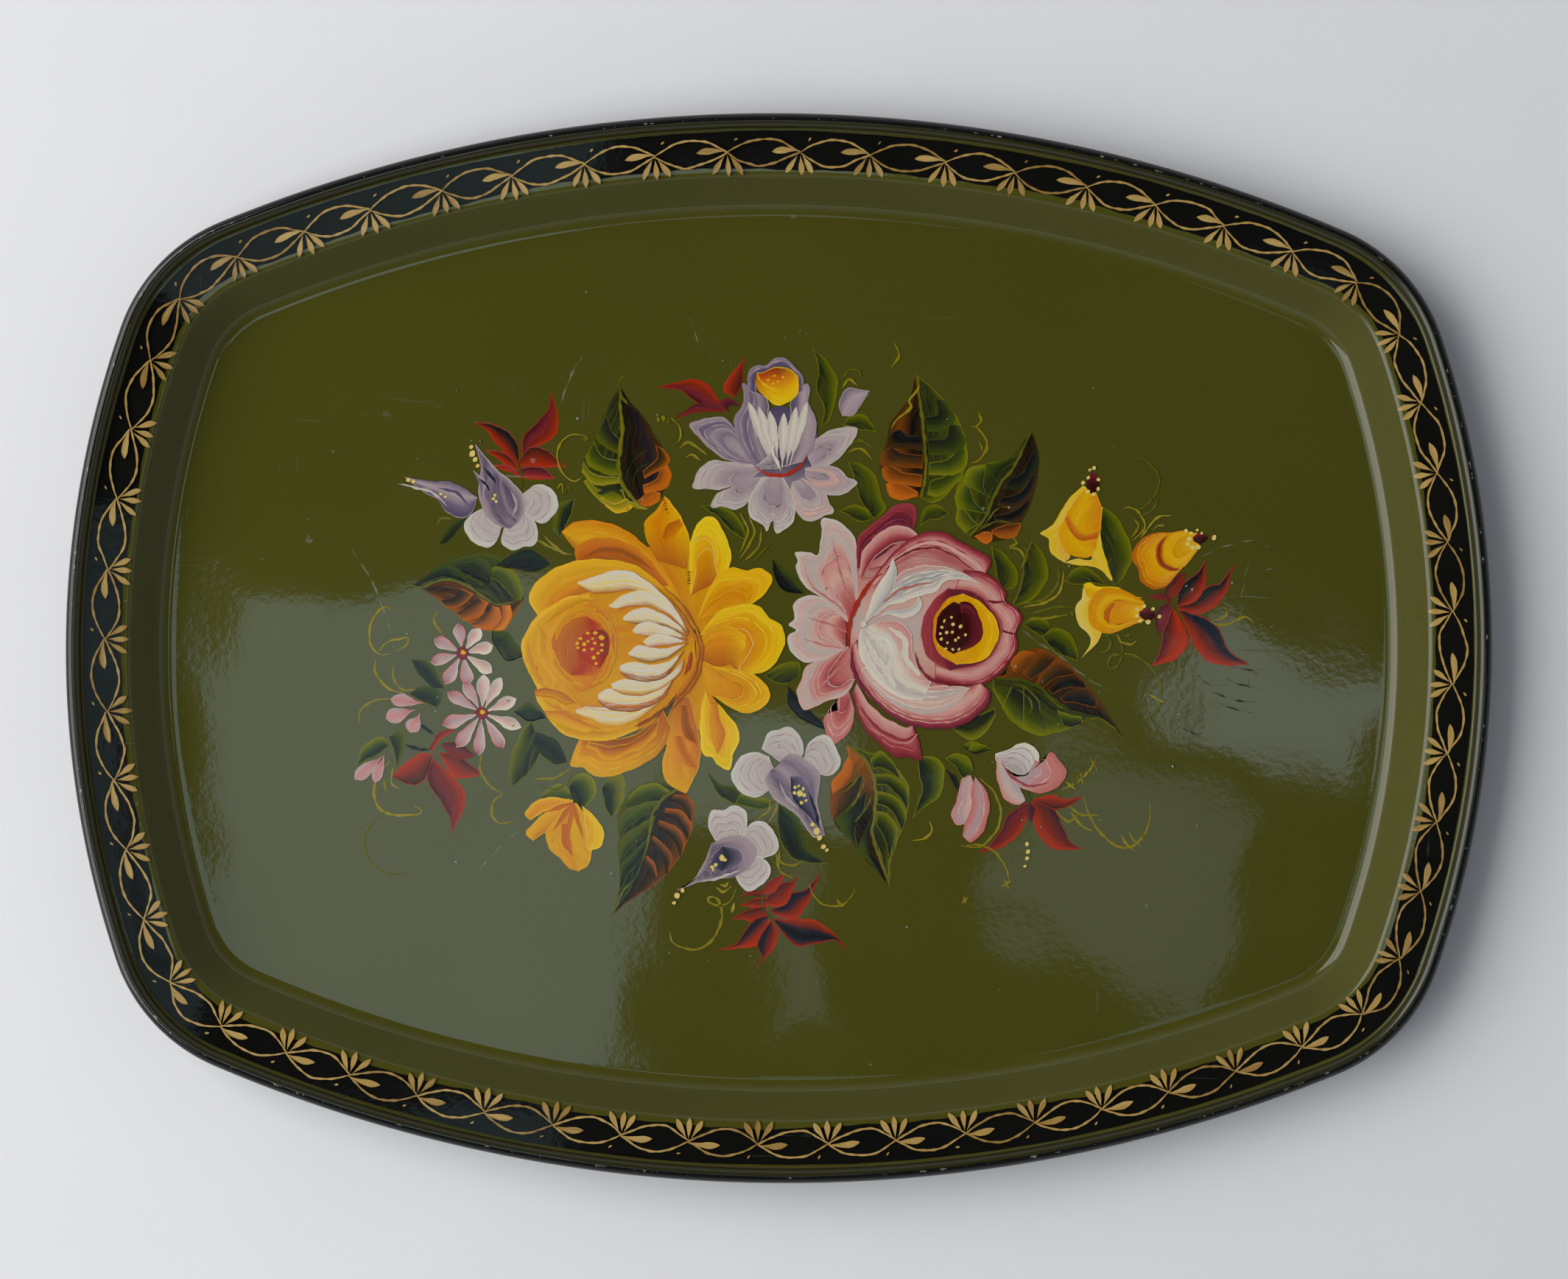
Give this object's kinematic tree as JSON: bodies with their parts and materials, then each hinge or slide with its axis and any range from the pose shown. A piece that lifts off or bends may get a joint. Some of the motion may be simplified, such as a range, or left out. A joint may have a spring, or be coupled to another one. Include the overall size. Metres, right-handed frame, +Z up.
{
  "type": "painted serving tray",
  "caption": "Oblong pressed steel serving tray with bowed sides, wired hem, black rim band with gold border, and painted flowers on dark green lacquer.",
  "frame": {"origin": "centre of the flat underside, which is what the tray stands on", "axes": "+X along the long side, +Y towards the far long side, +Z up out of the painted face"},
  "size_m": [0.46, 0.345, 0.0204],
  "materials": {
    "green_lacquer": "high gloss clear lacquer over dark olive green",
    "steel_wire": "drawn mild steel, unpainted",
    "black_lacquer": "gloss black band on the rim",
    "gold_paint": "hand painted gold border under lacquer",
    "flower_paint": "hand painted oil colours under lacquer"
  },
  "bodies": {
    "root": {"tray_sheet": "green_lacquer", "rim_wire": "steel_wire"}
  },
  "joints": []
}
